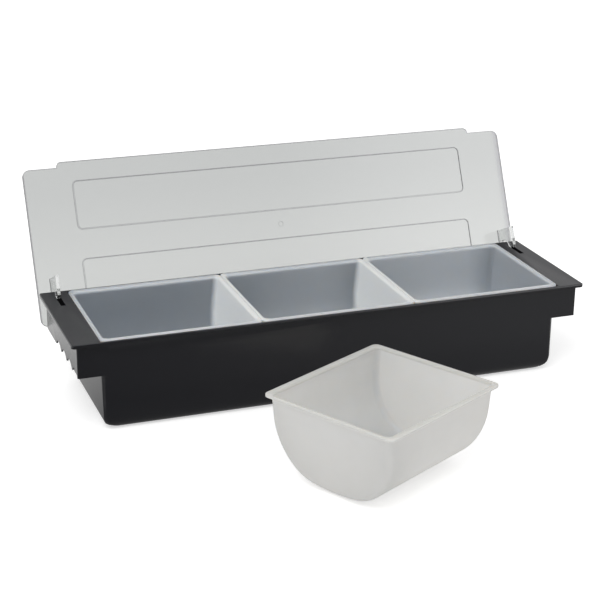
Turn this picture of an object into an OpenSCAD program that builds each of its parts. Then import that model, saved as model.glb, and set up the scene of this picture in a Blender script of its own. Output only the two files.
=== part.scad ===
// Bar condiment caddy: a black tray with a hand grip at each end, three scoop-bottomed
// inserts that lift out, a fourth one standing beside it, and one clear lid that hooks
// into the end plates and swings up and back until its rear edge rests on the tray.
// Millimetres. Origin at the centre of the tray's underside, +X to the right along the
// tray, -Y to the front, +Z up. The lid is drawn open, as it rests against the tray.

/* [Tray] */
// Length of the tray over its end plates
tray_length = 500; // [460:1:560]
// Depth of the tray over its front and back rails
tray_depth = 140; // [130:1:160]
// Width of each end plate, from the insert opening to the end of the tray
plate_width = 26; // [25:0.5:34]
// Thickness of the end plates and rails at their outer edge
plate_thick = 3.2; // [2.8:0.1:4]
// Radius of the plates' corners, seen from above
plate_corner_r = 4; // [2:0.5:8]
// Rounding of the plates' and rails' top edges
edge_round = 1.5; // [0.8:0.1:1.6]
// How far the rails stand out over the front and back walls
rail_overhang = 4.8; // [4:0.1:6]
// Width of the front and back rails, outside the insert opening
rail_width = 2.2; // [1.6:0.1:3]
// Depth of the step that the inserts' rims sit in
rim_step = 2; // [1.2:0.1:2.2]
// How far the well's end walls stand in from the edge of the insert opening
well_setback = 0.75; // [0.5:0.25:3]
// Thickness of the tray's walls
wall = 1.6; // [1.6:0.1:2.6]
// Thickness of the tray's floor
floor_thick = 2.5; // [2:0.1:5]
// Draft of the tray's walls, in degrees
draft = 1; // [0.5:0.1:1.5]
// Radius of the well's upright corners
well_corner_r = 8; // [5:0.5:9]
// Radius between the well's walls and its underside
well_bottom_r = 9; // [5:0.5:14]

/* [Hand grips] */
// How far an end plate stands out over its grip's end wall
plate_overhang = 5.45; // [3:0.05:8]
// Depth of the grip wall below the top of the plate
grip_depth = 33.5; // [33:0.5:45]
// Radius of the grip's upright and lower corners
grip_corner_r = 2; // [1:0.5:4]
// Number of finger notches in each grip's lower edge
finger_count = 4; // [1:1:5]
// Distance from one finger notch to the next
finger_pitch = 22.2; // [21.5:0.1:24]
// Width of a finger notch
finger_width = 20.2; // [16:0.1:21]
// Height of a finger notch
finger_rise = 5.5; // [3:0.5:8]
// Distance from the grip's front face to the middle of the first notch
finger_start = 12.3; // [12:0.1:20]

/* [Inserts] */
// Height of an insert over its rim
insert_height = 77.4; // [60:0.2:80]
// Gap between the tray's floor and the bottom of a seated insert
floor_gap = 8.4; // [2:0.1:20]
// Thickness of an insert's rim
rim_thick = 2.6; // [2.2:0.1:3]
// Play between an insert's rim and the front or back rail
rim_play_front = 0.8; // [0.8:0.1:2]
// Play between the outer rims and the end plates
rim_play_end = 0.5; // [0.4:0.1:2]
// Gap between two neighbouring rims
rim_gap = 0.3; // [0.3:0.1:2]
// Height of a seated rim above the step, enough to lift it freely
seat_gap = 0.1; // [0.05:0.05:0.3]
// How far the left insert sits to the front, and the right one to the back, in its play
seat_shift = 0.6; // [0:0.1:0.6]
// Clearance between an insert and the tray's front or back wall
body_clear_front = 0.9; // [0.9:0.1:1.8]
// Clearance between an outer insert and the tray's end wall
body_clear_end = 0.6; // [0.6:0.1:3]
// Wall thickness of an insert
insert_wall = 1.4; // [1.2:0.1:2.4]
// Radius of the scoop between front or back wall and bottom
scoop_r = 56; // [35:1:58]
// Radius of an insert's upright corners, outside
insert_corner_r = 6.5; // [6:0.5:12]
// Radius between an insert's ends and its bottom
insert_end_r = 12; // [4:0.5:12]
// Draft of an insert's end walls, in degrees
end_draft = 6.5; // [1:0.5:7]
// Radius of the rim's outer corners
rim_corner_r = 5.5; // [1.5:0.5:6.5]
// Rounding of the rim's outer edges
rim_round = 0.5; // [0.3:0.1:1]
// Rounding of the mouth, between the rim's top and the walls inside
mouth_round = 2.2; // [0.6:0.1:2.4]

/* [Lid] */
// Thickness of the lid's sheet
lid_thick = 2.2; // [1.8:0.1:3]
// Distance from the lid's end to the tray's end
lid_end_inset = 0.4; // [0:0.1:3]
// Distance from the tray's front edge back to the closed lid's front edge
lid_front_inset = 6.1; // [4:0.1:12]
// Distance from the hinge axis back to the lid's rear edge
lid_rear = 21.3; // [19:0.1:24]
// Radius of the lid's corners
lid_corner_r = 7; // [3:0.5:12]
// Height of the closed lid's inner face above the end plates
lid_gap = 1.4; // [1.3:0.1:2]
// Diameter of the round moulding mark in the middle of the lid
gate_d = 5; // [3:0.5:8]
// Depth of the moulding mark
gate_depth = 0.4; // [0.2:0.1:0.8]
// Length of the raised fields pressed into the lid
field_length = 406; // [360:1:430]
// Width of each raised field
field_width = 47.3; // [30:0.1:52]
// Distance between the two raised fields
field_spacing = 28; // [20:0.5:50]
// Corner radius of the raised fields
field_corner_r = 5; // [2:0.5:10]
// Height of the raised fields
field_rise = 0.8; // [0.3:0.1:1.2]
// Length of the finger lip along the lid's front edge
lip_length = 432; // [200:1:445]
// How far the finger lip reaches past the lid's front edge
lip_reach = 5.7; // [5.2:0.1:9]
// Upward slope of the finger lip, in degrees
lip_angle = 12; // [0:1:25]
// Corner radius of the finger lip
lip_corner_r = 4.5; // [2:0.5:5]

/* [Hinge] */
// Distance from the tray's rear edge forward to the hinge axis
hinge_inset = 5.5; // [5:0.1:7]
// Depth of the hinge axis below the top of the end plates
hinge_drop = 9.03; // [8.8:0.01:9.4]
// Gap between the open lid's rear edge and the tray's back wall
stop_gap = 0.2; // [0.1:0.05:0.5]
// Distance from the tray's end in to the middle of a hook
hook_inset = 14.8; // [13:0.1:16]
// Thickness of a hook
hook_thick = 3; // [2.4:0.1:3.6]
// How far a hook stands out from the lid's inner face
hook_reach = 31.5; // [28:0.5:32]
// Distance from the hinge axis forward to a hook's front edge
hook_front = 23.4; // [20:0.1:25]
// Distance from the hinge axis forward to a hook's heel
hook_heel = 2.4; // [2.4:0.1:6]
// Play on each side of a hook in its slot
slot_side_play = 0.75; // [0.4:0.05:1.2]
// Distance from the hinge axis forward to the slot's rear end
slot_rear = 7.5; // [6:0.1:8.5]
// Play between a swinging hook and its slot's front end
slot_front_play = 4.1; // [1:0.1:5]
// Play between a hook's round notch and the strip behind the slot
notch_play = 0.46; // [0.3:0.02:0.8]

/* [Insert beside the tray] */
// Middle of the loose insert, to the right of the tray's middle
loose_x = -21.6; // [-120:0.1:120]
// Middle of the loose insert, in front of the tray's middle
loose_front = 217.5; // [190:0.1:300]
// Angle that the loose insert is turned by, in degrees
loose_turn = 29; // [0:0.5:90]

/* [Hidden] */
$fn = 96;
cut = 5; // how far a cutting shape runs past what it cuts

// Tray: as high as a seated insert needs
tray_height = floor_thick + floor_gap + insert_height - rim_thick - seat_gap + rim_step;
half_length = tray_length / 2;
half_depth = tray_depth / 2;
opening_x = half_length - plate_width;
opening_y = half_depth - rail_width;
wall_y = half_depth - rail_overhang;
well_x = opening_x - well_setback;
inner_x = well_x - wall;
inner_y = wall_y - wall;
grip_x = half_length - plate_overhang;
grip_bottom = tray_height - grip_depth;
plate_bottom = tray_height - plate_thick;
step_z = tray_height - rim_step;

// Round finger notch through three points of its lower edge
finger_r = (pow(finger_width / 2, 2) + pow(finger_rise, 2)) / (2 * finger_rise);

// Inserts
insert_length = (2 * opening_x - 2 * rim_play_end - 2 * rim_gap) / 3;
insert_width = 2 * opening_y - 2 * rim_play_front;
insert_pitch = insert_length + rim_gap;
insert_z = floor_thick + floor_gap;
body_x = inner_x - insert_pitch - body_clear_end;
body_y = inner_y - body_clear_front;
// Angles round the scoop at which the body's sections are taken, closer near the bottom
scoop_angles = [0, 5, 10, 15, 20, 30, 40, 50, 60, 70, 80, 90];
corner_steps = 5;
// Angles round the mouth's edge, from the rim's top down to the wall
mouth_angles = [0, 30, 60, 90];

// Lid, closed, measured from the hinge axis
hinge_y = half_depth - hinge_inset;
hinge_z = tray_height - hinge_drop;
lid_inner = hinge_drop + lid_gap;
lid_front = hinge_y + half_depth - lid_front_inset;
lid_half = half_length - lid_end_inset;
lid_middle = (lid_rear - lid_front) / 2;
hook_x = half_length - hook_inset;
hook_foot = lid_inner - hook_reach;
notch_r = norm([slot_rear, hinge_drop]) + notch_play;
hook_sweep = norm([hook_front, hook_foot]);
slot_front = sqrt(pow(hook_sweep, 2) - pow(hinge_drop, 2)) + slot_front_play;
// Opening angle at which the lid's rear edge meets the drafted back wall
stop_back = wall_y + stop_gap - hinge_y - hinge_drop * tan(draft);
rear_along = lid_rear - lid_inner * tan(draft);
rear_across = lid_inner + lid_rear * tan(draft);
lid_open = atan2(rear_across, rear_along) + acos(stop_back / norm([rear_along, rear_across]));

// Flat shapes -----------------------------------------------------------------

// Rectangle with rounded corners, centred
module rounded_plate(half_x, half_y, r) {
    square([2 * (half_x - r), 2 * half_y], center = true);
    square([2 * half_x, 2 * (half_y - r)], center = true);
    for (sx = [-1, 1], sy = [-1, 1]) translate([sx * (half_x - r), sy * (half_y - r)]) circle(r);
}

// Upright section of a drafted tub: flat top, sides leaning in, round lower corners
module tub_section(half_top, height, r) {
    centre = half_top - (height - r) * tan(draft) - r / cos(draft);
    touch = [centre + r * cos(draft), r - r * sin(draft)];
    polygon([
        [half_top, height], touch, [centre, 0],
        [-centre, 0], [-touch[0], touch[1]], [-half_top, height]
    ]);
    for (side = [-1, 1]) translate([side * centre, r]) circle(r);
}

// Upright section of the top frame: square below, round upper corners
module frame_section(half_width) {
    translate([-half_width, 0]) square([2 * half_width, plate_thick - edge_round]);
    translate([-half_width + edge_round, 0]) square([2 * (half_width - edge_round), plate_thick]);
    for (side = [-1, 1])
        translate([side * (half_width - edge_round), plate_thick - edge_round]) circle(edge_round);
}

// Extrudes a flat (Y, Z) section along X, or an (X, Z) section along Y, about the middle
module along_x(length) { rotate([90, 0, 90]) linear_extrude(length, center = true) children(); }
module along_y(length) { rotate([90, 0, 0]) linear_extrude(length, center = true) children(); }

// Tray ------------------------------------------------------------------------

// Drafted tub with round upright corners and a round lower edge, standing on z = 0
module tub(half_x, half_y, height, corner_r, bottom_r) {
    intersection() {
        along_x(2 * half_x) tub_section(half_y, height, bottom_r);
        along_y(2 * half_y) tub_section(half_x, height, bottom_r);
        linear_extrude(height) rounded_plate(half_x, half_y, corner_r);
    }
}

// Outside of both hand grips: the front and back walls run on to the grips' end walls
module grip_block() {
    intersection() {
        along_x(2 * grip_x) tub_section(wall_y, tray_height, well_bottom_r);
        translate([0, 0, grip_bottom])
            linear_extrude(grip_depth - edge_round) rounded_plate(grip_x, wall_y, grip_corner_r);
    }
}

// Flat frame that makes the end plates and the narrow rails between them
module top_frame() {
    translate([0, 0, plate_bottom]) intersection() {
        along_x(tray_length) frame_section(half_depth);
        along_y(tray_depth) frame_section(half_length);
        linear_extrude(plate_thick) rounded_plate(half_length, half_depth, plate_corner_r);
    }
}

// Inside of both hand grips: one drafted hollow that the well then stands in
module grip_hollow() {
    length = 2 * (grip_x - wall);
    intersection() {
        along_x(length) translate([0, -cut])
            tub_section(inner_y + cut * tan(draft), plate_bottom + cut, well_bottom_r);
        translate([-length / 2, -inner_y, grip_bottom - cut])
            cube([length, 2 * inner_y, grip_depth - plate_thick + cut]);
    }
}

// Row of finger notches through a grip's end wall, counted from the front
module finger_notches() {
    first = -wall_y + finger_start;
    for (i = [0 : finger_count - 1])
        translate([grip_x - wall / 2, first + i * finger_pitch, grip_bottom + finger_rise - finger_r])
            rotate([0, 90, 0]) cylinder(h = 2 * wall, r = finger_r, center = true);
}

// Slot in an end plate that a lid hook hangs through
module hook_slot() {
    width = hook_thick + 2 * slot_side_play;
    translate([hook_x - width / 2, hinge_y - slot_front, plate_bottom - 1])
        cube([width, slot_front - slot_rear, plate_thick + 2]);
}

module base_tray() color([0.13, 0.13, 0.14]) {
    difference() {
        union() {
            difference() {
                grip_block();
                grip_hollow();
            }
            tub(well_x, wall_y, tray_height - edge_round, well_corner_r, well_bottom_r);
            top_frame();
        }
        translate([0, 0, floor_thick])
            tub(inner_x, inner_y, tray_height + cut, well_corner_r - wall, well_bottom_r - wall);
        translate([-opening_x, -opening_y, step_z]) cube([2 * opening_x, 2 * opening_y, rim_step + cut]);
        for (side = [0, 1]) mirror([side, 0, 0]) {
            finger_notches();
            hook_slot();
        }
    }
}

// Inserts ---------------------------------------------------------------------

// One section of the loft: a rectangle with corners rounded rx by ry, at height z
function section(hx, hy, rx, ry, z) = [
    for (quarter = [0 : 3], i = [0 : corner_steps])
        let (
            a = 90 * (quarter + i / corner_steps),
            sx = quarter == 0 || quarter == 3 ? 1 : -1,
            sy = quarter < 2 ? 1 : -1
        )
        [sx * (hx - rx) + rx * cos(a), sy * (hy - ry) + ry * sin(a), z]
];

// Section of the body at one angle round the scoop, shifted in by a wall thickness
function body_section(a, inset) =
    let (
        r = scoop_r - inset,
        z = inset + r * (1 - cos(a)),
        down = insert_height - z,
        end_r = insert_end_r - inset,
        rise = min(z - inset, end_r),
        end_drop = end_r - sqrt(pow(end_r, 2) - pow(end_r - rise, 2)),
        hx = body_x - inset - down * tan(end_draft) - end_drop,
        hy = body_y - inset - r * (1 - sin(a)) - down * tan(draft),
        corner = insert_corner_r - inset,
        ry = min(corner / max(sin(a), 0.3), hy - 1)
    )
    section(hx, hy, corner, ry, z);

// Section of the body where its walls are straight, just under or inside the rim
function wall_section(inset, z) =
    let (down = insert_height - z, corner = insert_corner_r - inset)
    section(
        body_x - inset - down * tan(end_draft), body_y - inset - down * tan(draft),
        corner, corner, z
    );

// Section of the inside at one angle round the mouth's edge
function mouth_section(a) =
    wall_section(
        insert_wall - mouth_round * (1 - sin(a)),
        insert_height - mouth_round * (1 - cos(a))
    );

// Section of the rim's outer edge, drawn in by a rounding
function rim_section(round_in, z) =
    let (r = rim_corner_r - round_in)
    section(insert_length / 2 - round_in, insert_width / 2 - round_in, r, r, z);

// Solid skinned over a list of sections, first one below and outside, last one on top
module loft(sections) {
    n = len(sections[0]);
    last = len(sections) - 1;
    points = [for (s = sections) each s];
    sides = [
        for (j = [0 : last - 1], i = [0 : n - 1])
            let (p = j * n + i, q = j * n + (i + 1) % n)
            each [[p, p + n, q + n], [p, q + n, q]]
    ];
    first_cap = [for (i = [0 : n - 1]) i];
    last_cap = [for (i = [n - 1 : -1 : 0]) last * n + i];
    polyhedron(points, concat([first_cap], sides, [last_cap]));
}

// One insert: outer skin up to the rim, over the rim, and down the inside to its floor
module insert_pan() color([0.85, 0.86, 0.84]) {
    rim_bottom = insert_height - rim_thick;
    loft(concat(
        [for (a = scoop_angles) body_section(a, 0)],
        [wall_section(0, rim_bottom)],
        [rim_section(rim_round, rim_bottom)],
        [rim_section(0, rim_bottom + rim_round)],
        [rim_section(0, insert_height - rim_round)],
        [rim_section(rim_round, insert_height)],
        [for (a = mouth_angles) mouth_section(a)],
        [for (i = [len(scoop_angles) - 1 : -1 : 0]) body_section(scoop_angles[i], insert_wall)]
    ));
}

module insert_left() { translate([-insert_pitch, -seat_shift, insert_z]) insert_pan(); }
module insert_middle() { translate([0, 0, insert_z]) insert_pan(); }
module insert_right() { translate([insert_pitch, seat_shift, insert_z]) insert_pan(); }
module insert_on_table() { translate([loose_x, -loose_front]) rotate(loose_turn) insert_pan(); }

// Lid -------------------------------------------------------------------------
// Drawn closed with the hinge axis at the origin: -Y to the lid's front, its inner
// face at z = lid_inner.

// Both raised fields, each drawn in by an amount
module field_shapes(inset) {
    for (side = [-1, 1])
        translate([0, lid_middle + side * (field_spacing + field_width) / 2])
            rounded_plate(field_length / 2 - inset, field_width / 2 - inset, field_corner_r - inset);
}

// Sheet with its raised fields, hollowed from inside by as much as they rise
module lid_sheet() {
    half_sheet = (lid_rear + lid_front) / 2;
    difference() {
        union() {
            translate([0, lid_middle, lid_inner])
                linear_extrude(lid_thick) rounded_plate(lid_half, half_sheet, lid_corner_r);
            translate([0, 0, lid_inner + lid_thick / 2])
                linear_extrude(lid_thick / 2 + field_rise) field_shapes(0);
        }
        translate([0, 0, lid_inner - cut]) linear_extrude(cut + field_rise) field_shapes(field_rise);
        translate([0, lid_middle, lid_inner + lid_thick - gate_depth]) cylinder(h = cut, d = gate_d);
    }
}

// Finger lip along the front edge, sloping up and out
module finger_lip() {
    translate([0, -lid_front, lid_inner]) rotate([-lip_angle, 0, 0]) intersection() {
        linear_extrude(lid_thick) rounded_plate(lip_length / 2, lip_reach, lip_corner_r);
        translate([-lip_length / 2, -lip_reach - cut, 0]) cube([lip_length, lip_reach + cut, lid_thick]);
    }
}

// Hook that hangs through a slot, with a round notch that turns about the strip behind it
module hook() {
    translate([hook_x, 0, 0]) along_x(hook_thick) difference() {
        translate([-hook_front, hook_foot])
            square([hook_front - hook_heel, hook_reach + lid_thick / 2]);
        circle(notch_r);
    }
}

module lid() color([0.85, 0.88, 0.88, 0.45]) {
    translate([0, hinge_y, hinge_z]) rotate([-lid_open, 0, 0]) union() {
        lid_sheet();
        finger_lip();
        for (side = [0, 1]) mirror([side, 0, 0]) hook();
    }
}

base_tray();
lid();
insert_left();
insert_middle();
insert_right();
insert_on_table();
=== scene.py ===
"""Looks of a bar condiment caddy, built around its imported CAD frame.

The lid is the CAD solid. The tray is a copy of its CAD solid with a rounder foot to its
tub, and the inserts are finer meshes of the form that their faceted CAD solids have. All
plastics are procedural. Metres, +Z up, +X to the right along the tray, -Y to the front.
"""

import math

import bmesh
import bpy
from mathutils import Matrix, Vector


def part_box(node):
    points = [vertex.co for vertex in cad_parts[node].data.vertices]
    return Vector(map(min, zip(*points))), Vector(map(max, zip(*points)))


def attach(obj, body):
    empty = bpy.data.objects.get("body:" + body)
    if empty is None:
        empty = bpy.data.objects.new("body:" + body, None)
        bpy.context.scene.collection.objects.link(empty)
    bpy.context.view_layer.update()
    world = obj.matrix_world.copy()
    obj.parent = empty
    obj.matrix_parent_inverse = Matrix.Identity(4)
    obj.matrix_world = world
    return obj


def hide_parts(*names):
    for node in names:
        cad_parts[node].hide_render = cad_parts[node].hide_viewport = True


MM = 0.001

# Camera: where it stands, its direction and its focal length in pixels of a 600 px frame
EYE = Vector((-0.51116, -1.33897, 0.61182))
AZIMUTH = math.radians(-20.33)
ELEVATION = math.radians(20.51)
ROLL = math.radians(0.64)
FOCAL_PX = 1609.14
FRAME_PX = 600
SENSOR = 36.0

# Studio: colours, half the side of the floor, and the soft lamp's place, size and power
WHITE = (1, 1, 1, 1)
FLOOR_WHITE = (0.82, 0.82, 0.82, 1)
FLOOR_HALF = 30.0
LAMP_PLACE = Vector((-0.9, -1.0, 1.8))
LAMP_WIDTH = 1.4
LAMP_HEIGHT = 1.0
LAMP_POWER = 14.0

# Floor in reflections: how bright it is to the left and to the right in front, and the
# share of that which is left close to the tray. In metres from the tray's middle: the
# strips over which it gets brighter to the right, dimmer to the tray, and white to the back
MIRROR_BRIGHTNESS = (0.2, 0.52)
MIRROR_NEAR_SHARE = 0.6
MIRROR_RIGHT = (-0.25, 0.25)
MIRROR_FRONT = (-0.15, -0.07)
MIRROR_BEHIND = (-0.12, 0.2)

# Sky in reflections: how bright it is in front, to the left and to the right, and behind.
# By direction: the part of X over which it gets bright to the right, and the part of Y
# over which it turns to the even light behind
PANEL_BRIGHTNESS = (0.1, 2.4)
BEHIND_BRIGHTNESS = 0.8
PANEL_RIGHT = (0.32, 0.42)
PANEL_BEHIND = (-0.3, 0.0)

# Black plastic: glossy walls and a satin top, how rough each is at least and at most, the
# strength of the grain on each, and how squarely a surface faces up where the satin starts
# and is full
GLOSSY_BLACK = (0.0085, 0.0088, 0.0115)
SATIN_BLACK = (0.0155, 0.016, 0.0195)
GLOSSY_ROUGH = (0.16, 0.24)
SATIN_ROUGH = (0.36, 0.5)
BLACK_GRAIN = (0.03, 0.38)
SATIN_FACING = (0.6, 0.9)

# Clear plastic: how rough it is at least and at most, and its greys, for the open sheet at
# its foot and at its top, where painted shade darkens it, the hooks in front of it, and
# painted shade in a band near its right end, in a rim at both ends and along its cut edges
CLEAR_ROUGH = (0.07, 0.12)
SHEET_LOW = (0.545, 0.555, 0.547)
SHEET_TOP_PAINTED_SHADE = (0.492, 0.502, 0.498)
HOOK_CLEAR = (0.8, 0.81, 0.805)
BAND_PAINTED_SHADE = (0.3, 0.29, 0.33)
LID_RIM_PAINTED_SHADE = (0.34, 0.34, 0.35)
EDGE_PAINTED_SHADE = (0.1, 0.1, 0.11)

# Open lid: the direction that its sheet's back faces, how far its front lies along that,
# and the heights between which painted shade darkens it
SHEET_NORMAL = (0.0, 0.9041, -0.4273)
SHEET_FRONT = 35.2 * MM
SHEET_SHADE_RISE = (85.0 * MM, 165.0 * MM)

# Hooks of the lid: how far out their middle is, how far to the side of that their look
# fades and ends, and how far in front of the sheet it starts and is full
HOOK_MIDDLE = 235.0 * MM
HOOK_SIDE = (5.0 * MM, 6.0 * MM)
HOOK_FOOT = (0.4 * MM, 0.8 * MM)

# Edges of the lid: the width of a cut edge, and how closely the surface's normal keeps to a
# rounded one where the painted shade on the edge is full and where it ends
CUT_EDGE = 1.4 * MM
EDGE_LEVEL = (0.75, 0.99)

# Ends of the lid: how far in from the end the painted shade of the band and of the rim
# starts and is full, and how much of its painted shade the band shows
BAND = (7.0 * MM, 2.0 * MM)
RIM = (1.8 * MM, 1.0 * MM)
BAND_SHARE = 0.45

# Frosted plastic: how rough it is at least and at most, how far light travels in it where
# it looks thin and where it looks milky, the look that carries painted light, and the share
# of that for red, green and blue
FROSTED_ROUGH = (0.42, 0.52)
THIN_SCATTER = 40.0 * MM
MILKY_SCATTER = 5.0 * MM
COLOUR_SCATTER = (1.0, 0.88, 0.76)

# Frosted colours: a seated insert's two that it is clouded with, its bluer one to the right
# and its end walls' one, both of painted light, and the loose insert's two and its rim's one
# of painted shade. Both inserts are one plastic: the seated tones are lighter and cooler as
# painted light, and the loose ones darker and warmer as painted shade
SEATED_DARK = (0.862, 0.879, 0.892)
SEATED_LIGHT = (0.882, 0.899, 0.912)
RIGHT_PAINTED_LIGHT = (0.93, 0.955, 0.975)
END_PAINTED_LIGHT = (0.875, 0.87, 0.84)
LOOSE_DARK = (0.785, 0.77, 0.73)
LOOSE_LIGHT = (0.825, 0.81, 0.77)
LOOSE_RIM_PAINTED_SHADE = (0.56, 0.55, 0.515)

# Where painted light is laid on the frosted plastic as a milky look. By the share of an
# insert's height: the rim, and the bottom. Along X in the seated row: the rise to the right,
# its fade at the right end, and the bluer part. From the gap between two inserts: the middle
# insert's corners, where shade is painted, and how deep the painted light on the end walls
# goes.
RIM_LEVEL = (0.955, 0.975)
BOTTOM_LEVEL = (0.1, 0.5)
ROW_RISE = (-120.0 * MM, 160.0 * MM)
ROW_FADE = (190.0 * MM, 210.0 * MM)
ROW_BLUE = (20.0 * MM, 160.0 * MM)
CORNER_FADE = (-45.0 * MM, -12.0 * MM)
CORNER_END = (-1.0 * MM, 0.0)
END_WALL = (4.0 * MM, 8.6 * MM)

# How much painted light there is there: the rim of a seated insert, the row at its bottom
# and above it, the share of that left at the row's right end and lost to painted shade at
# the middle insert's corners, and the loose insert's inside
RIM_PAINTED_LIGHT = 0.35
ROW_PAINTED_LIGHT = (0.95, 0.38)
ROW_END_LEFT = 0.4
CORNER_PAINTED_SHADE = 0.7
INSIDE_PAINTED_LIGHT = 0.42

# Height of a point that the loose insert's inside faces, and how far that point lies in
# front of a face, as a negative distance, where the inside's painted light is full and where it
# ends
ABOVE_LOOSE = 200.0 * MM
INSIDE_FACING = (-10.0 * MM, 0.0)

# Inserts, as in the CAD source, but for a rounder rim edge and a fillet under the rim
WALL = 1.4 * MM
RIM_THICK = 2.6 * MM
RIM_OVERHANG_X = 2.45 * MM
RIM_OVERHANG_Y = 4.3 * MM
RIM_CORNER_R = 5.5 * MM
RIM_EDGE_R = 0.7 * MM
RIM_FILLET_R = 1.0 * MM
MOUTH_R = 2.2 * MM
SCOOP_R = 56.0 * MM
CORNER_R = 6.5 * MM
END_R = 12.0 * MM
END_DRAFT = math.tan(math.radians(6.5))
SIDE_DRAFT = math.tan(math.radians(1.0))
SEATED_PITCH = 149.1 * MM
LOOSE_CENTRE = Vector((-21.6 * MM, -217.5 * MM, 0.0))
LOOSE_TURN = math.radians(29.0)
LOOSE_INSERT = "insert_on_table"
INSERT_BODIES = {
    "insert_left": "left_insert",
    "insert_middle": "middle_insert",
    "insert_right": "right_insert",
    LOOSE_INSERT: "table_insert",
}

# Round the scoop an insert's corners get longer, at most by 1 / LEAST_SINE, and they stop
# LEAST_FLAT short of the middle of its end
LEAST_SINE = 0.3
LEAST_FLAT = 1.0 * MM

# Foot of the tray's tub, rounder than the CAD solid's mitred one. It starts at FOOT_HEIGHT,
# and its first ring lies FOOT_LAP lower. TUB_CORNER is the middle of the upright corner.
FOOT_HEIGHT = 14.0 * MM
FOOT_LAP = 0.5 * MM
FLOOR_THICK = 2.5 * MM
TUB_WALL = 1.6 * MM
FOOT_END_R = 12.0 * MM
FOOT_SIDE_R = 11.0 * MM
TUB_CORNER_R = 8.0 * MM
TUB_CORNER = Vector((215.25 * MM, 57.2 * MM))

# Points closer than WELD are joined, and edges sharper than SHARP_ANGLE stay sharp
WELD = 0.001 * MM
SHARP_ANGLE = math.radians(35)

# How finely corners, scoops, the tub's foot and rim edges are divided
CORNER_STEPS = 14
SCOOP_STEPS = 30
FOOT_STEPS = 12
EDGE_STEPS = 4


# Node helpers ------------------------------------------------------------------


def new_material(name):
    """A material with an empty node tree and its output node."""
    material = bpy.data.materials.new(name)
    material.use_nodes = True
    material.node_tree.nodes.clear()
    output = material.node_tree.nodes.new("ShaderNodeOutputMaterial")
    return material, material.node_tree, output


def add(tree, kind, inputs=None, **settings):
    """Adds a node, sets its properties, and sets or links its inputs."""
    node = tree.nodes.new(kind)
    for key, value in settings.items():
        setattr(node, key, value)
    for key, value in (inputs or {}).items():
        if isinstance(value, bpy.types.NodeSocket):
            tree.links.new(value, node.inputs[key])
        else:
            node.inputs[key].default_value = value
    return node


def rest_place(tree):
    """Place of the shaded point, in the frame that the piece has at rest."""
    return add(tree, "ShaderNodeTexCoord").outputs["Object"]


def face_normal(tree):
    """Direction that the surface faces."""
    return add(tree, "ShaderNodeNewGeometry").outputs["Normal"]


def parts(tree, vector):
    """X, Y and Z of a vector."""
    return add(tree, "ShaderNodeSeparateXYZ", {"Vector": vector}).outputs


def dot(tree, first, second):
    """How far one vector goes along another."""
    inputs = {0: first, 1: second}
    return add(tree, "ShaderNodeVectorMath", inputs, operation="DOT_PRODUCT").outputs["Value"]


def calc(tree, operation, first, second=0.0):
    """Result of one sum on one or two values."""
    return add(tree, "ShaderNodeMath", {0: first, 1: second}, operation=operation).outputs[0]


def product(tree, first, *others):
    """All the values multiplied together."""
    for other in others:
        first = calc(tree, "MULTIPLY", first, other)
    return first


def remap(tree, value, low, high, start=0.0, end=1.0):
    """Maps start..end of a value to low..high, and holds it there on both sides."""
    inputs = {"Value": value, "From Min": start, "From Max": end, "To Min": low, "To Max": high}
    return add(tree, "ShaderNodeMapRange", inputs).outputs["Result"]


def mix(tree, factor, low, high):
    """Mixes two values."""
    inputs = {"Factor": factor, "A": low, "B": high}
    return add(tree, "ShaderNodeMix", inputs).outputs["Result"]


def blend(tree, factor, low, high):
    """Mixes two colours, each of them red, green and blue or a socket."""
    ends = {
        key: colour if isinstance(colour, bpy.types.NodeSocket) else (*colour, 1)
        for key, colour in (("A", low), ("B", high))
    }
    mixed = add(tree, "ShaderNodeMix", {"Factor": factor, **ends}, data_type="RGBA")
    return mixed.outputs["Result"]


def noise(tree, scale, detail, roughness=0.5):
    """Noise in the piece's rest frame, with scale in cells per metre."""
    inputs = {"Vector": rest_place(tree), "Scale": scale, "Detail": detail, "Roughness": roughness}
    return add(tree, "ShaderNodeTexNoise", inputs).outputs["Fac"]


def bumped(tree, grain, strength, depth):
    """Normal of a surface with a fine grain."""
    inputs = {"Strength": strength, "Distance": depth, "Height": grain}
    return add(tree, "ShaderNodeBump", inputs).outputs["Normal"]


# Materials -----------------------------------------------------------------------


def black_plastic():
    """Black moulding: smooth walls, and a fine satin grain on what faces up."""
    material, tree, output = new_material("black_plastic")
    satin = remap(tree, parts(tree, face_normal(tree))["Z"], 0.0, 1.0, *SATIN_FACING)
    grain = noise(tree, scale=1400.0, detail=3.0, roughness=0.6)
    blotch = noise(tree, scale=35.0, detail=3.0)
    glossy_rough = remap(tree, blotch, *GLOSSY_ROUGH)
    satin_rough = remap(tree, grain, *SATIN_ROUGH)
    strength = remap(tree, satin, *BLACK_GRAIN)
    shader = add(
        tree,
        "ShaderNodeBsdfPrincipled",
        {
            "Base Color": blend(tree, satin, GLOSSY_BLACK, SATIN_BLACK),
            "Roughness": mix(tree, satin, glossy_rough, satin_rough),
            "IOR": 1.5,
            "Normal": bumped(tree, grain, strength, depth=0.06 * MM),
        },
    )
    tree.links.new(shader.outputs[0], output.inputs["Surface"])
    return material


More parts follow.
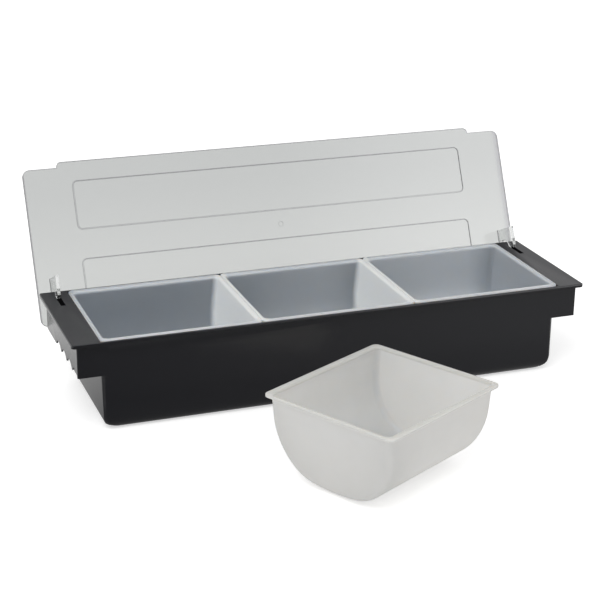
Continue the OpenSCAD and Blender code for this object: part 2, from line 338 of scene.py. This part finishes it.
def sheet_tint_and_shade(tree):
    """Grey of the lid, with painted shade up the sheet, at its ends and at its cut edges."""
    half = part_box("lid")[1].x
    place = rest_place(tree)
    across = parts(tree, place)["X"]
    side = calc(tree, "ABSOLUTE", across)
    in_front = calc(tree, "SUBTRACT", SHEET_FRONT, dot(tree, place, SHEET_NORMAL))
    from_hook = calc(tree, "ABSOLUTE", calc(tree, "SUBTRACT", side, HOOK_MIDDLE))
    hook = product(
        tree,
        remap(tree, in_front, 0.0, 1.0, *HOOK_FOOT),
        remap(tree, from_hook, 1.0, 0.0, *HOOK_SIDE),
    )
    # Painted shade along the cut edges, where a clear edge looks dark, but not on the hooks.
    rounded = add(tree, "ShaderNodeBevel", {"Radius": CUT_EDGE}, samples=6).outputs["Normal"]
    level = dot(tree, face_normal(tree), rounded)
    sharp = remap(tree, level, 1.0, 0.0, *EDGE_LEVEL)
    edge = product(tree, sharp, remap(tree, hook, 1.0, 0.0))
    # Painted shade: the sheet gets darker towards its top.
    upper = remap(tree, parts(tree, place)["Z"], 0.0, 1.0, *SHEET_SHADE_RISE)
    # Painted shade in a band near the right end of the sheet.
    band_shade = remap(tree, across, 0.0, BAND_SHARE, *(half - inset for inset in BAND))
    # Painted shade in a rim at both ends.
    rim = remap(tree, side, 0.0, 1.0, *(half - inset for inset in RIM))
    tint = blend(tree, upper, SHEET_LOW, SHEET_TOP_PAINTED_SHADE)
    tint = blend(tree, hook, tint, HOOK_CLEAR)
    tint = blend(tree, band_shade, tint, BAND_PAINTED_SHADE)
    tint = blend(tree, rim, tint, LID_RIM_PAINTED_SHADE)
    return blend(tree, edge, tint, EDGE_PAINTED_SHADE)


def clear_plastic():
    """Clear moulding of the lid, a little frosted and grey, with painted shade on its grey."""
    material, tree, output = new_material("clear_plastic")
    cloud = noise(tree, scale=14.0, detail=2.0)
    grain = noise(tree, scale=900.0, detail=2.0)
    shader = add(
        tree,
        "ShaderNodeBsdfPrincipled",
        {
            "Base Color": sheet_tint_and_shade(tree),
            "Roughness": remap(tree, cloud, *CLEAR_ROUGH),
            "IOR": 1.49,
            "Transmission Weight": 1.0,
            "Normal": bumped(tree, grain, strength=0.05, depth=0.05 * MM),
        },
    )
    tree.links.new(shader.outputs[0], output.inputs["Surface"])
    return material


def frosted_shader(tree, colour, roughness, normal, scatter):
    """Translucent moulding in which light travels about as far as scatter, in metres."""
    return add(
        tree,
        "ShaderNodeBsdfPrincipled",
        {
            "Base Color": colour,
            "Roughness": roughness,
            "IOR": 1.49,
            "Subsurface Weight": 1.0,
            "Subsurface Radius": COLOUR_SCATTER,
            "Subsurface Scale": scatter,
            "Normal": normal,
        },
    ).outputs[0]


def seated_painted_light(tree, tone, height, at_rim):
    """Share and tone of the painted light on a seated insert, laid on as a milky look.

    It has painted light at its rim and at the end walls beside another insert, not beside
    the black tray. The row gets painted lighter and bluer to the right and to the bottom,
    with painted shade at the middle insert's corners.
    """
    across = parts(tree, rest_place(tree))["X"]
    from_gap = calc(tree, "SUBTRACT", calc(tree, "ABSOLUTE", across), SEATED_PITCH / 2)
    # Painted shade at the middle insert's corners, beside the gaps.
    corner = product(
        tree,
        remap(tree, from_gap, 0.0, CORNER_PAINTED_SHADE, *CORNER_FADE),
        remap(tree, from_gap, 1.0, 0.0, *CORNER_END),
    )
    # Painted light on the row: lighter to the right and at the bottom.
    low = product(
        tree,
        remap(tree, across, 0.0, 1.0, *ROW_RISE),
        remap(tree, across, 1.0, ROW_END_LEFT, *ROW_FADE),
        remap(tree, height, *ROW_PAINTED_LIGHT, *BOTTOM_LEVEL),
        remap(tree, corner, 1.0, 0.0),
    )
    # Painted light on the end walls beside another insert.
    lean = remap(tree, height, seated_size().z * END_DRAFT, 0.0)
    from_end = calc(tree, "SUBTRACT", calc(tree, "ABSOLUTE", from_gap), lean)
    end = remap(tree, from_end, 1.0, 0.0, *END_WALL)
    # Painted light on the rim.
    rim = remap(tree, at_rim, 0.0, RIM_PAINTED_LIGHT)
    share = calc(tree, "MAXIMUM", calc(tree, "MAXIMUM", low, end), rim)
    # Painted light: a lighter, bluer tone to the right and on the end walls.
    tone = blend(tree, remap(tree, across, 0.0, 1.0, *ROW_BLUE), tone, RIGHT_PAINTED_LIGHT)
    return share, blend(tree, end, tone, END_PAINTED_LIGHT)


def loose_painted_light(tree):
    """Share of painted light on the loose insert, laid on inside as a milky look.

    Inside is where the surface faces a point high above the insert's middle.
    """
    inputs = {0: rest_place(tree), 1: (*LOOSE_CENTRE.xy, ABOVE_LOOSE)}
    outward = add(tree, "ShaderNodeVectorMath", inputs, operation="SUBTRACT").outputs["Vector"]
    facing_out = dot(tree, outward, face_normal(tree))
    return remap(tree, facing_out, INSIDE_PAINTED_LIGHT, 0.0, *INSIDE_FACING)


def frosted_plastic(name, darkest, lightest, seated):
    """Frosted moulding of an insert, whose thin walls let light through, with painted light and
    shade mixed in.
    """
    material, tree, output = new_material(name)
    cloud = noise(tree, scale=26.0, detail=3.0)
    grain = noise(tree, scale=1100.0, detail=2.0)
    tone = blend(tree, remap(tree, cloud, 0.0, 1.0, start=0.3, end=0.7), darkest, lightest)
    roughness = remap(tree, cloud, *FROSTED_ROUGH)
    normal = bumped(tree, grain, strength=0.12, depth=0.05 * MM)
    height = parts(tree, add(tree, "ShaderNodeTexCoord").outputs["Generated"])["Z"]
    at_rim = remap(tree, height, 0.0, 1.0, *RIM_LEVEL)
    # The mix with the milky look lays on painted light and shade.
    if seated:
        share, painted_light_tone = seated_painted_light(tree, tone, height, at_rim)
    else:
        share = loose_painted_light(tree)
        # Painted shade on the loose insert's rim.
        tone = blend(tree, at_rim, tone, LOOSE_RIM_PAINTED_SHADE)
        painted_light_tone = tone
    thin = frosted_shader(tree, tone, roughness, normal, THIN_SCATTER)
    milky = frosted_shader(tree, painted_light_tone, roughness, normal, MILKY_SCATTER)
    shader = add(tree, "ShaderNodeMixShader", {0: share, 1: thin, 2: milky})
    tree.links.new(shader.outputs[0], output.inputs["Surface"])
    return material


# Pieces ----------------------------------------------------------------------------


def ring(hx, hy, rx, ry, z):
    """Rectangle of half sizes hx and hy with corners rounded rx by ry, at height z."""
    points = []
    for quarter, (sx, sy) in enumerate(((1, 1), (-1, 1), (-1, -1), (1, -1))):
        for step in range(CORNER_STEPS + 1):
            angle = math.pi / 2 * (quarter + step / CORNER_STEPS)
            x = sx * (hx - rx) + rx * math.cos(angle)
            y = sy * (hy - ry) + ry * math.sin(angle)
            points.append((x, y, z))
    return points


def quarter_turn(steps):
    """Angles from 0 to a right angle, both included."""
    return [math.pi / 2 * step / steps for step in range(steps + 1)]


def stand_in(node, mesh, body, material):
    """A piece that rides on a body in the place of a CAD node."""
    piece = bpy.data.objects.new(node + "_shell", mesh)
    bpy.context.scene.collection.objects.link(piece)
    mesh.materials.append(material)
    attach(piece, body)
    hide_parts(node)
    return piece


# Inserts ---------------------------------------------------------------------------


def seated_size():
    """Length, width and height of an insert, from one that stands square to the axes."""
    low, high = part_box("insert_middle")
    return high - low


def insert_rings(length, width, height):
    """Rings of one insert from its bottom up the outside, over the rim and down inside."""
    body_x = length / 2 - RIM_OVERHANG_X
    body_y = width / 2 - RIM_OVERHANG_Y
    rim_bottom = height - RIM_THICK

    def body(angle, inset):
        r = SCOOP_R - inset
        z = inset + r * (1 - math.cos(angle))
        end_r = END_R - inset
        rise = min(z - inset, end_r)
        end_drop = end_r - math.sqrt(end_r**2 - (end_r - rise) ** 2)
        hx = body_x - inset - (height - z) * END_DRAFT - end_drop
        hy = body_y - inset - r * (1 - math.sin(angle)) - (height - z) * SIDE_DRAFT
        corner = CORNER_R - inset
        stretched = corner / max(math.sin(angle), LEAST_SINE)
        return ring(hx, hy, corner, min(stretched, hy - LEAST_FLAT), z)

    def wall(inset, z):
        corner = CORNER_R - inset
        hx = body_x - inset - (height - z) * END_DRAFT
        hy = body_y - inset - (height - z) * SIDE_DRAFT
        return ring(hx, hy, corner, corner, z)

    def rim(inset, z):
        r = RIM_CORNER_R - inset
        return ring(length / 2 - inset, width / 2 - inset, r, r, z)

    scoop = quarter_turn(SCOOP_STEPS)
    # Steps round an edge: the share of its radius still to go one way, and gone the other way
    edge = [(1 - math.sin(turn), 1 - math.cos(turn)) for turn in quarter_turn(EDGE_STEPS)]
    return [
        *(body(angle, 0) for angle in scoop),
        *(wall(-RIM_FILLET_R * gone, rim_bottom - RIM_FILLET_R * to_go) for to_go, gone in edge),
        *(rim(RIM_EDGE_R * to_go, rim_bottom + RIM_EDGE_R * gone) for to_go, gone in edge),
        *(rim(RIM_EDGE_R * gone, height - RIM_EDGE_R * to_go) for to_go, gone in edge),
        *(wall(WALL - MOUTH_R * to_go, height - MOUTH_R * gone) for to_go, gone in edge),
        *(body(angle, WALL) for angle in reversed(scoop)),
    ]


def skin(name, rings):
    """Mesh skinned over a list of rings, capped at both ends and shaded smooth."""
    count = len(rings[0])
    last = (len(rings) - 1) * count
    faces = [tuple(reversed(range(count)))]
    for low in range(0, last, count):
        for i in range(count):
            j = (i + 1) % count
            faces.append((low + i, low + j, low + count + j, low + count + i))
    faces.append(tuple(range(last, last + count)))
    mesh = bpy.data.meshes.new(name)
    mesh.from_pydata([point for one in rings for point in one], [], faces)
    mesh.polygons.foreach_set("use_smooth", [True] * len(mesh.polygons))
    mesh.update()
    return mesh


def make_insert(node, body, material):
    """One fine insert in the place of its CAD solid."""
    mesh = skin(node + "_shell", insert_rings(*seated_size()))
    if node == LOOSE_INSERT:
        place = Matrix.Translation(LOOSE_CENTRE) @ Matrix.Rotation(LOOSE_TURN, 4, "Z")
    else:
        low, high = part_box(node)
        centre = (low + high) / 2
        place = Matrix.Translation((centre.x, centre.y, low.z))
    mesh.transform(place)
    stand_in(node, mesh, body, material)


# Tray --------------------------------------------------------------------------------


def foot_rings(half, inset, floor):
    """Rings of the tub's foot from just under its upper edge down to the floor.

    half is the tub's half length and half depth at the foot's upper edge. inset is 0 for
    the outside and the wall's thickness for the inside.
    """
    corner_r = TUB_CORNER_R - inset
    end_r = FOOT_END_R - inset
    side_r = FOOT_SIDE_R - inset
    levels = [FOOT_HEIGHT - FOOT_LAP]
    levels += [floor + end_r * (1 - math.sin(turn)) for turn in quarter_turn(FOOT_STEPS)]
    rings = []
    for z in levels:
        end_rise = min(z - floor, end_r)
        side_rise = min(z - floor, side_r)
        lean = (FOOT_HEIGHT - z) * SIDE_DRAFT
        hx = half.x - lean - end_r + math.sqrt(end_r**2 - (end_r - end_rise) ** 2)
        hy = half.y - lean - side_r + math.sqrt(side_r**2 - (side_r - side_rise) ** 2)
        # The corner's centre moves in with the walls as the foot goes down
        share = min((FOOT_HEIGHT - z) / (FOOT_HEIGHT - FLOOR_THICK), 1.0)
        cx = TUB_CORNER.x + (hx - corner_r - TUB_CORNER.x) * share
        cy = TUB_CORNER.y + (hy - corner_r - TUB_CORNER.y) * share
        rounded = ring(cx + corner_r, cy + corner_r, corner_r, corner_r, z)
        rings.append([(max(-hx, min(x, hx)), max(-hy, min(y, hy)), z) for x, y, _ in rounded])
    return rings


def add_rings(mesh, rings, turn):
    """Skins rings into a bmesh with a floor under the last; gives back the first one's edges.

    turn is 1 or -1, and it says which way round the faces go.
    """
    rows = [[mesh.verts.new(point) for point in one] for one in rings]
    count = len(rows[0])
    for upper, lower in zip(rows, rows[1:]):
        for i in range(count):
            j = (i + 1) % count
            mesh.faces.new((upper[i], upper[j], lower[j], lower[i])[::turn])
    mesh.faces.new(rows[-1][::turn])
    return [mesh.edges.get((rows[0][i], rows[0][(i + 1) % count])) for i in range(count)]


def reach(loop):
    """How far a loop of edges goes along X and along Y."""
    ends = [vert.co for edge in loop for vert in edge.verts]
    return Vector((max(end.x for end in ends), max(end.y for end in ends)))


def loops_of(edges):
    """Edges sorted into the closed loops that they make."""
    left = set(edges)
    loops = []
    while left:
        loop, todo = [], [left.pop()]
        while todo:
            edge = todo.pop()
            loop.append(edge)
            for vert in edge.verts:
                found = [other for other in vert.link_edges if other in left]
                left.difference_update(found)
                todo.extend(found)
        loops.append(loop)
    return loops


def round_foot(mesh):
    """Cuts the foot off a bmesh of the tray, outside and inside, and skins a rounder one."""
    cut = bmesh.ops.bisect_plane(
        mesh,
        geom=[*mesh.verts, *mesh.edges, *mesh.faces],
        plane_co=(0, 0, FOOT_HEIGHT),
        plane_no=(0, 0, 1),
        clear_inner=True,
    )["geom_cut"]
    edges = [part for part in cut if isinstance(part, bmesh.types.BMEdge)]
    outer, inner = sorted(loops_of(edges), key=lambda loop: reach(loop).x, reverse=True)
    for loop, inset, floor, turn in ((outer, 0.0, 0.0, 1), (inner, TUB_WALL, FLOOR_THICK, -1)):
        first = add_rings(mesh, foot_rings(reach(loop), inset, floor), turn)
        bmesh.ops.bridge_loops(mesh, edges=loop + first)
    bmesh.ops.recalc_face_normals(mesh, faces=mesh.faces)


def make_tray(node, solid, body, material):
    """The tray's solid with a rounder foot, shaded smooth but for its sharp edges."""
    work = bmesh.new()
    work.from_mesh(solid)
    bmesh.ops.remove_doubles(work, verts=work.verts, dist=WELD)
    round_foot(work)
    mesh = bpy.data.meshes.new(node + "_shell")
    work.to_mesh(mesh)
    work.free()
    mesh.polygons.foreach_set("use_smooth", [True] * len(mesh.polygons))
    mesh.set_sharp_from_angle(angle=SHARP_ANGLE)
    piece = stand_in(node, mesh, body, material)
    even = piece.modifiers.new("even_normals", "WEIGHTED_NORMAL")
    even.keep_sharp = True


# Studio ------------------------------------------------------------------------------


def by_ray(tree, diffuse, mirrored, refracted, seen):
    """One value for each kind of ray: diffuse, mirrored, refracted and from the camera."""
    path = add(tree, "ShaderNodeLightPath").outputs
    value = mix(tree, path["Is Glossy Ray"], diffuse, mirrored)
    value = mix(tree, path["Is Transmission Ray"], value, refracted)
    return mix(tree, path["Is Camera Ray"], value, seen)


def floor_mirrored(tree):
    """Brightness of the floor in reflections: bright behind, and to the right in front."""
    place = parts(tree, rest_place(tree))
    to_right = remap(tree, place["X"], *MIRROR_BRIGHTNESS, *MIRROR_RIGHT)
    to_tray = remap(tree, place["Y"], 1.0, MIRROR_NEAR_SHARE, *MIRROR_FRONT)
    behind = remap(tree, place["Y"], 0.0, 1.0, *MIRROR_BEHIND)
    return mix(tree, behind, product(tree, to_right, to_tray), 1.0)


def make_floor():
    """Plain white floor that goes on to the horizon and keeps the object's shadow."""
    half = FLOOR_HALF
    mesh = bpy.data.meshes.new("floor")
    corners = [(-half, -half, 0), (half, -half, 0), (half, half, 0), (-half, half, 0)]
    mesh.from_pydata(corners, [], [(0, 1, 2, 3)])
    floor = bpy.data.objects.new("floor", mesh)
    bpy.context.scene.collection.objects.link(floor)
    material, tree, output = new_material("floor_white")
    matte = add(tree, "ShaderNodeBsdfDiffuse", {"Color": FLOOR_WHITE})
    strength = by_ray(tree, diffuse=0.0, mirrored=0.55, refracted=0.55, seen=0.55)
    glow = add(tree, "ShaderNodeEmission", {"Color": WHITE, "Strength": strength})
    lit = add(tree, "ShaderNodeAddShader", {0: matte.outputs[0], 1: glow.outputs[0]})
    panel = add(tree, "ShaderNodeEmission", {"Color": WHITE, "Strength": floor_mirrored(tree)})
    mirrored_only = by_ray(tree, diffuse=0.0, mirrored=1.0, refracted=0.0, seen=0.0)
    shader = add(
        tree,
        "ShaderNodeMixShader",
        {0: mirrored_only, 1: lit.outputs[0], 2: panel.outputs[0]},
    )
    tree.links.new(shader.outputs[0], output.inputs["Surface"])
    mesh.materials.append(material)


def make_world():
    """White backdrop to the camera and in reflections, and a plain even light."""
    world = bpy.data.worlds.new("studio")
    bpy.context.scene.world = world
    world.use_nodes = True
    tree = world.node_tree
    tree.nodes.clear()
    direction = parts(tree, add(tree, "ShaderNodeTexCoord").outputs["Generated"])
    panel = remap(tree, direction["X"], *PANEL_BRIGHTNESS, *PANEL_RIGHT)
    behind = remap(tree, direction["Y"], 0.0, 1.0, *PANEL_BEHIND)
    mirrored = mix(tree, behind, panel, BEHIND_BRIGHTNESS)
    strength = by_ray(tree, diffuse=0.68, mirrored=mirrored, refracted=0.8, seen=1.0)
    sky = add(tree, "ShaderNodeBackground", {"Color": WHITE, "Strength": strength})
    output = add(tree, "ShaderNodeOutputWorld")
    tree.links.new(sky.outputs[0], output.inputs["Surface"])


def make_lamp():
    """Rectangular soft lamp, aimed at the tray, that the camera doesn't see."""
    data = bpy.data.lights.new("key", "AREA")
    data.shape = "RECTANGLE"
    data.size = LAMP_WIDTH
    data.size_y = LAMP_HEIGHT
    data.energy = LAMP_POWER
    lamp = bpy.data.objects.new("key", data)
    lamp.location = LAMP_PLACE
    lamp.rotation_euler = (-LAMP_PLACE).to_track_quat("-Z", "Y").to_euler()
    lamp.visible_camera = False
    bpy.context.scene.collection.objects.link(lamp)


def make_camera():
    """Camera at the fitted place, direction and roll."""
    back = Vector((
        math.sin(AZIMUTH) * math.cos(ELEVATION),
        -math.cos(AZIMUTH) * math.cos(ELEVATION),
        math.sin(ELEVATION),
    ))
    level = Vector((0, 0, 1)).cross(back).normalized()
    raised = back.cross(level)
    right = level * math.cos(ROLL) + raised * math.sin(ROLL)
    up = raised * math.cos(ROLL) - level * math.sin(ROLL)
    data = bpy.data.cameras.new("camera")
    data.sensor_width = SENSOR
    data.lens = FOCAL_PX / FRAME_PX * SENSOR
    camera = bpy.data.objects.new("camera", data)
    turn = Matrix((right, up, back)).transposed().to_4x4()
    camera.matrix_world = Matrix.Translation(EYE) @ turn
    bpy.context.scene.collection.objects.link(camera)
    bpy.context.scene.camera = camera


def set_material(piece, material):
    """Shows a CAD node in a material, by its object's own slots."""
    for slot in piece.material_slots:
        slot.link = "OBJECT"
        slot.material = material


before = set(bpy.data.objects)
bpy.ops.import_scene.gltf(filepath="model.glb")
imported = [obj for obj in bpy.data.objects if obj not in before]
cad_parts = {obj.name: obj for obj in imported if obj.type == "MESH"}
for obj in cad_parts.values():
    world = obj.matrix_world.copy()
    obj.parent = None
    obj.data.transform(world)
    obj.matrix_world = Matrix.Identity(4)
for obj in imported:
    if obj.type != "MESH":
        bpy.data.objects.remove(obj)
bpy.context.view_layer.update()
make_camera()
make_floor()
make_world()
make_lamp()
make_tray("base_tray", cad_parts["base_tray"].data, "tray", black_plastic())
set_material(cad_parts["lid"], clear_plastic())
seated = frosted_plastic("frosted_seated", SEATED_DARK, SEATED_LIGHT, seated=True)
loose = frosted_plastic("frosted_loose", LOOSE_DARK, LOOSE_LIGHT, seated=False)
for node, body in INSERT_BODIES.items():
    make_insert(node, body, loose if node == LOOSE_INSERT else seated)
bpy.context.scene.view_settings.view_transform = "Standard"
